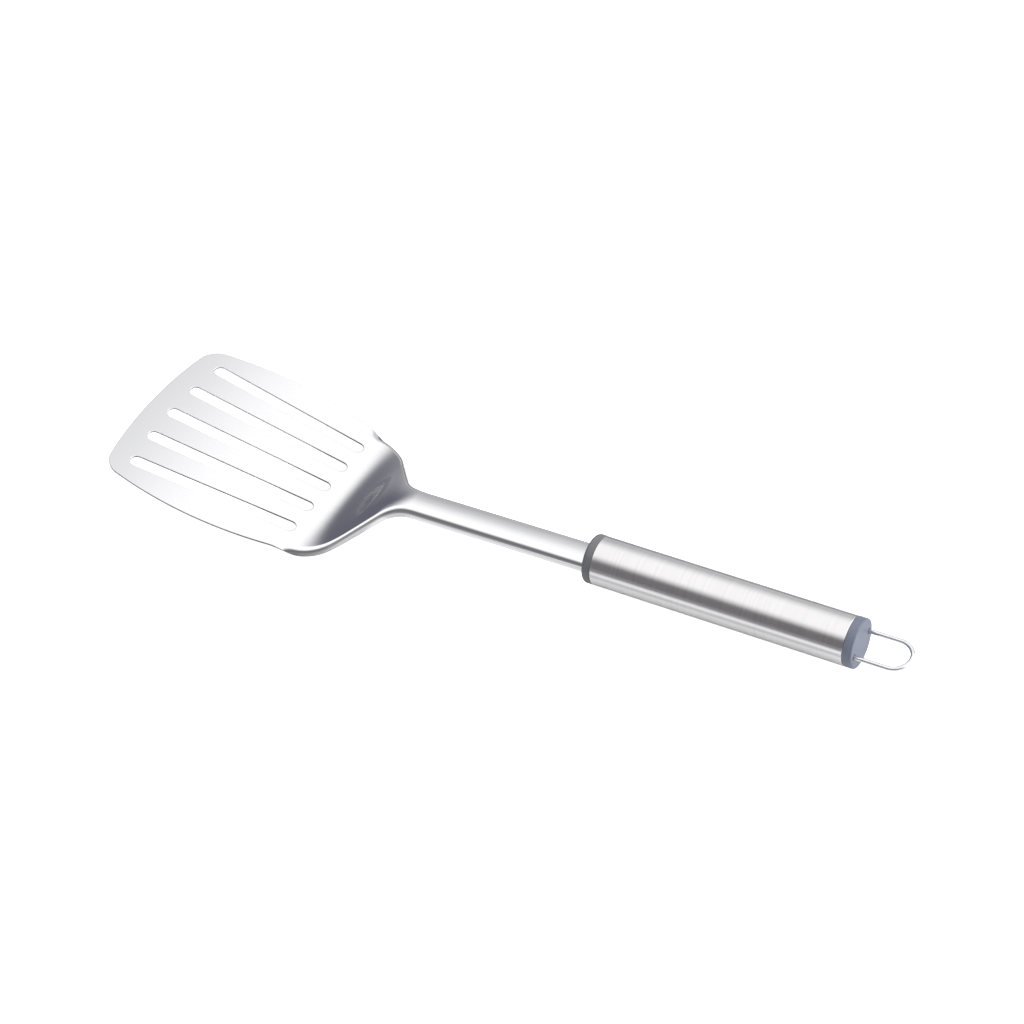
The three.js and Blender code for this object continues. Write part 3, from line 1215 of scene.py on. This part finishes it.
@dataclass(frozen=True)
class SoftCard:
    """A soft-edged patch of the surroundings, in degrees seen from the turner, and its light."""

    azimuth: float
    elevation: float
    half_width: float
    half_height: float
    softness: float
    light: Colour

    def axes(self) -> tuple[Vector, Vector, Vector]:
        """Return the ways to the patch's middle, to its side and to its upper edge."""
        turn = Matrix.Rotation(math.radians(self.azimuth), 3, "Z")
        tilt = Matrix.Rotation(-math.radians(self.elevation), 3, "Y")
        middle, side, upper = (turn @ tilt @ axis for axis in (HANDLE_AXIS, ACROSS, UP))
        return middle, side / math.sin(math.radians(self.half_width)), upper / math.sin(
            math.radians(self.half_height))


@dataclass
class Studio:
    """Floor, surroundings and camera.

    The floor's tones show only in reflections, and they are painted shade: it is pale round the turner,
    dimmed by painted shade to the sides, with a painted shadow strip along either side of the shank
    and a painted shadow in a dark band under the rear of the blade.
    """

    floor_size: float = 14.0
    floor_tone: Colour = (1.0, 1.0, 1.0)
    # The tones and places below are painted shade and painted shadows, seen only in reflections.
    floor_painted_shade_tone: Colour = (0.26, 0.26, 0.27)
    floor_side_shade: tuple[float, float] = (0.05, 0.076)
    floor_ahead: tuple[float, float] = (0.05, -0.04)
    floor_narrowing: float = 0.033
    floor_shade: tuple[float, float, float, float] = (-0.078, -0.09, -0.106, -0.122)
    floor_shade_tone: Colour = (0.14, 0.14, 0.145)
    floor_shadow_strip: tuple[float, float, float, float] = (0.0195, 0.0225, 0.0295, 0.034)
    floor_shadow_strip_share: float = 0.45
    floor_glow: float = 1.0
    horizon: Colour = (0.72, 0.72, 0.73)
    zenith: Colour = (1.27, 1.27, 1.27)
    rise_from: float = 19.2
    rise_to: float = 39.7
    cards: tuple[SoftCard, ...] = (
        # The dim near side of the room
        SoftCard(-95.0, 15.0, 75.0, 29.0, 0.52, (0.205, 0.2, 0.206)),
        # The dim end of the room ahead of the blade
        SoftCard(165.0, 18.6, 38.7, 26.5, 0.55, (0.15, 0.15, 0.188)),
        # The bright end of the room behind the handle
        SoftCard(20.0, 25.0, 35.0, 25.0, 0.2, (3.0, 3.0, 3.1)),
    )
    camera_place: Place = (0.47472, -0.71344, 0.78198)
    camera_azimuth: float = math.radians(33.515)
    camera_elevation: float = math.radians(41.5172)
    camera_roll: float = math.radians(-6.7576)
    lens: float = 97.348
    sensor: float = 36.0

    def build(self) -> None:
        """Make the floor, the surroundings and the camera."""
        self.lay_floor()
        self.light_room()
        self.set_camera()
        bpy.context.scene.view_settings.view_transform = "Standard"

    def lay_floor(self) -> None:
        """Lay a plain pale floor that is kept white to the camera, as on a light table."""
        bm = bmesh.new()
        bmesh.ops.create_grid(bm, x_segments=4, y_segments=4, size=self.floor_size / 2)
        floor = to_object(bm, "floor")
        material, sheet, where = start_material("pale_floor")
        surface = sheet.add("ShaderNodeBsdfPrincipled", {"Roughness": 0.9, "Specular IOR Level": 0.1})
        # Painted shade seen only in reflections: the tone dims to the sides, more narrowly towards the blade,
        # a painted shadow strip runs along either side of the shank, and a painted shadow band lies under the
        # rear of the blade.
        place = sheet.parts(where)
        aside = sheet.maths("ABSOLUTE", place["Y"])
        ahead = sheet.span(place["X"], *self.floor_ahead, 0.0, self.floor_narrowing, smooth=True)
        fade = sheet.span(sheet.maths("ADD", aside, ahead), *self.floor_side_shade, 0.0, 1.0, smooth=True)
        strip = sheet.band(aside, self.floor_shadow_strip, self.floor_shadow_strip_share)
        shade = sheet.band(place["X"], self.floor_shade)
        ground = sheet.blend(sheet.maths("MAXIMUM", fade, strip), self.floor_tone, self.floor_painted_shade_tone)
        sheet.link(sheet.blend(shade, ground, self.floor_shade_tone), surface.inputs["Base Color"])
        path = sheet.add("ShaderNodeLightPath")
        glow = sheet.add("ShaderNodeEmission", {"Color": (1.0, 1.0, 1.0, 1.0)})
        strength = sheet.maths("MULTIPLY", path.outputs["Is Camera Ray"], self.floor_glow)
        sheet.link(strength, glow.inputs["Strength"])
        both = sheet.add("ShaderNodeAddShader")
        sheet.link(surface.outputs["BSDF"], both.inputs[0])
        sheet.link(glow.outputs["Emission"], both.inputs[1])
        sheet.show(both.outputs["Shader"])
        floor.data.materials.append(material)

    def paint_card(self, sheet: NodeSheet, way: Socket, under: Socket,
                   card: SoftCard) -> Socket:
        """Paint one patch over the surroundings.

        Args:
            sheet: the world's nodes.
            way: the direction that is looked in.
            under: the light of the surroundings so far.
            card: the patch.

        Returns:
            The light with the patch.
        """
        parts = []
        for axis in card.axes():
            facing = sheet.add("ShaderNodeVectorMath", operation="DOT_PRODUCT")
            sheet.link(way, facing.inputs[0])
            facing.inputs[1].default_value = axis
            parts.append(facing.outputs["Value"])
        middle, side, upper = parts
        fourth = sheet.maths("ADD", sheet.maths("POWER", side, 4.0), sheet.maths("POWER", upper, 4.0))
        reach = sheet.maths("POWER", fourth, 0.25)
        share = sheet.span(reach, 1.0 + card.softness, 1.0 - card.softness, 0.0, 1.0, smooth=True)
        share = sheet.maths("MULTIPLY", share, sheet.maths("GREATER_THAN", middle, 0.0))
        return sheet.blend(share, under, card.light)

    def light_room(self) -> None:
        """Surround the turner with a bright dome that darkens to the horizon, and its patches."""
        world = bpy.data.worlds.new("soft_studio")
        bpy.context.scene.world = world
        world.use_nodes = True
        sheet = NodeSheet(world.node_tree)
        way = sheet.add("ShaderNodeTexCoord").outputs["Generated"]
        low, high = (math.sin(math.radians(angle)) for angle in (self.rise_from, self.rise_to))
        rise = sheet.span(sheet.parts(way)["Z"], low, high, 0.0, 1.0, smooth=True)
        light = sheet.blend(rise, self.horizon, self.zenith)
        for card in self.cards:
            light = self.paint_card(sheet, way, light, card)
        background = sheet.add("ShaderNodeBackground", {"Strength": 1.0})
        sheet.link(light, background.inputs["Color"])
        sheet.show(background.outputs["Background"], "ShaderNodeOutputWorld")

    def set_camera(self) -> None:
        """Set the camera where the photograph was taken from."""
        data = bpy.data.cameras.new("camera")
        data.lens = self.lens
        data.sensor_width = self.sensor
        data.sensor_fit = "HORIZONTAL"
        data.clip_start = 0.01
        data.clip_end = 100.0
        camera = bpy.data.objects.new("camera", data)
        bpy.context.scene.collection.objects.link(camera)
        aim = Matrix.Rotation(self.camera_azimuth, 4, "Z")
        tilt = Matrix.Rotation(math.pi / 2 - self.camera_elevation, 4, "X")
        roll = Matrix.Rotation(self.camera_roll, 4, "Z")
        camera.matrix_world = Matrix.Translation(self.camera_place) @ aim @ tilt @ roll
        bpy.context.scene.camera = camera


# Finishes

# The blade's front carries painted shade, a darker tint standing in for a reflection, and a little added
# roughness.
BLADE_STEEL = SteelFinish(
    name="polished_sheet", grain=Grain.LENGTHWISE, deep=(0.79, 0.79, 0.80), bright=(0.83, 0.83, 0.84),
    smooth=0.06, rough=0.1, haze_scale=38.0, haze_rough=0.035, relief=0.04, relief_depth=0.00002,
    painted_front_shade=PaintedFrontShade(start=-0.125, full=-0.185, tint=(0.6, 0.6, 0.61), rough=0.05))
CUT_STEEL = SteelFinish(
    name="cut_edge", grain=Grain.EVEN, deep=(0.74, 0.74, 0.75), bright=(0.88, 0.88, 0.89),
    smooth=0.34, rough=0.48, haze_scale=200.0, haze_rough=0.06, relief=0.2, relief_depth=0.00003)
TUBE_STEEL = SteelFinish(
    name="brushed_tube", grain=Grain.ROUND_THE_TUBE, deep=(0.71, 0.7, 0.7), bright=(0.77, 0.76, 0.76),
    smooth=0.14, rough=0.2, haze_scale=30.0, haze_rough=0.03, relief=0.05, relief_depth=0.00002)
WIRE_STEEL = SteelFinish(
    name="bright_wire", grain=Grain.EVEN, deep=(0.7, 0.7, 0.71), bright=(0.78, 0.78, 0.79),
    smooth=0.04, rough=0.09, haze_scale=120.0, haze_rough=0.05, relief=0.06, relief_depth=0.00002)
RING_PLASTIC = PlasticFinish(
    name="ring_plastic", deep=(0.138, 0.141, 0.152), pale=(0.19, 0.194, 0.205))
CAP_PLASTIC = PlasticFinish(
    name="cap_plastic", deep=(0.148, 0.164, 0.222), pale=(0.204, 0.225, 0.292))
CORE_PLASTIC = PlasticFinish(
    name="core_plastic", deep=(0.26, 0.26, 0.25), pale=(0.34, 0.34, 0.33), smooth=0.5, rough=0.65,
    grain_scale=2400.0, haze_scale=90.0, relief=0.2, relief_depth=0.00005)


def main() -> None:
    """Build the studio and every piece of the turner, in order."""
    logging.basicConfig(level=logging.INFO)
    lie = Lie()
    effects = Effects(brush_lines(), handling_haze(), moulded_grain())
    Studio().build()
    blade = PressedBlade(lie)
    blade.build(BLADE_STEEL.make(effects), CUT_STEEL.make(effects))
    FrontRing(lie, blade).build(RING_PLASTIC.make(effects))
    TangCore().build(CORE_PLASTIC.make(effects))
    HandleTube(lie).build(TUBE_STEEL.make(effects))
    cap = EndCap(lie)
    cap.build(CAP_PLASTIC.make(effects))
    HangingLoop(lie, cap).build(WIRE_STEEL.make(effects))


if __name__ == "__main__":
    main()
